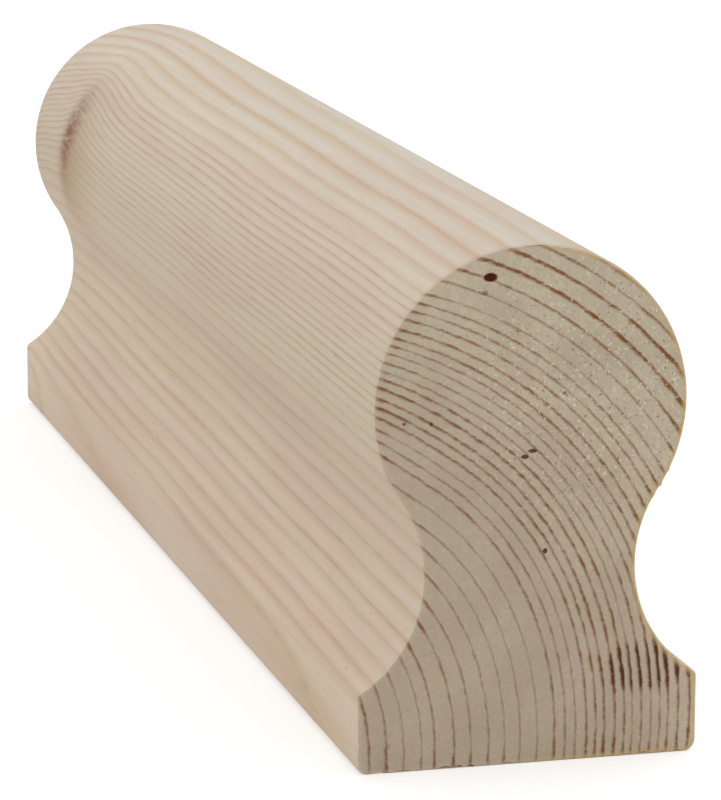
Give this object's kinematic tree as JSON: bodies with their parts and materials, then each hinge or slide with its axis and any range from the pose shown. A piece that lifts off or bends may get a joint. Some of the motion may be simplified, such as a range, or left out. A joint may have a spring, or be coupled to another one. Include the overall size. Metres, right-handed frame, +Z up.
{
  "type": "timber handrail",
  "caption": "Length of planed softwood handrail with a rounded head to grip, coved sides and a flat base to fix down, sawn square at both ends.",
  "frame": {"origin": "middle of the flat underside of the base", "axes": "+Y along the grain from the near sawn end to the far one, +Z up from the base to the head, +X across"},
  "size_m": [0.045, 0.23, 0.067],
  "materials": {
    "pine": "planed bare pine, unfinished, with sawn end grain"
  },
  "bodies": {
    "root": {"handrail": "pine"}
  },
  "joints": []
}
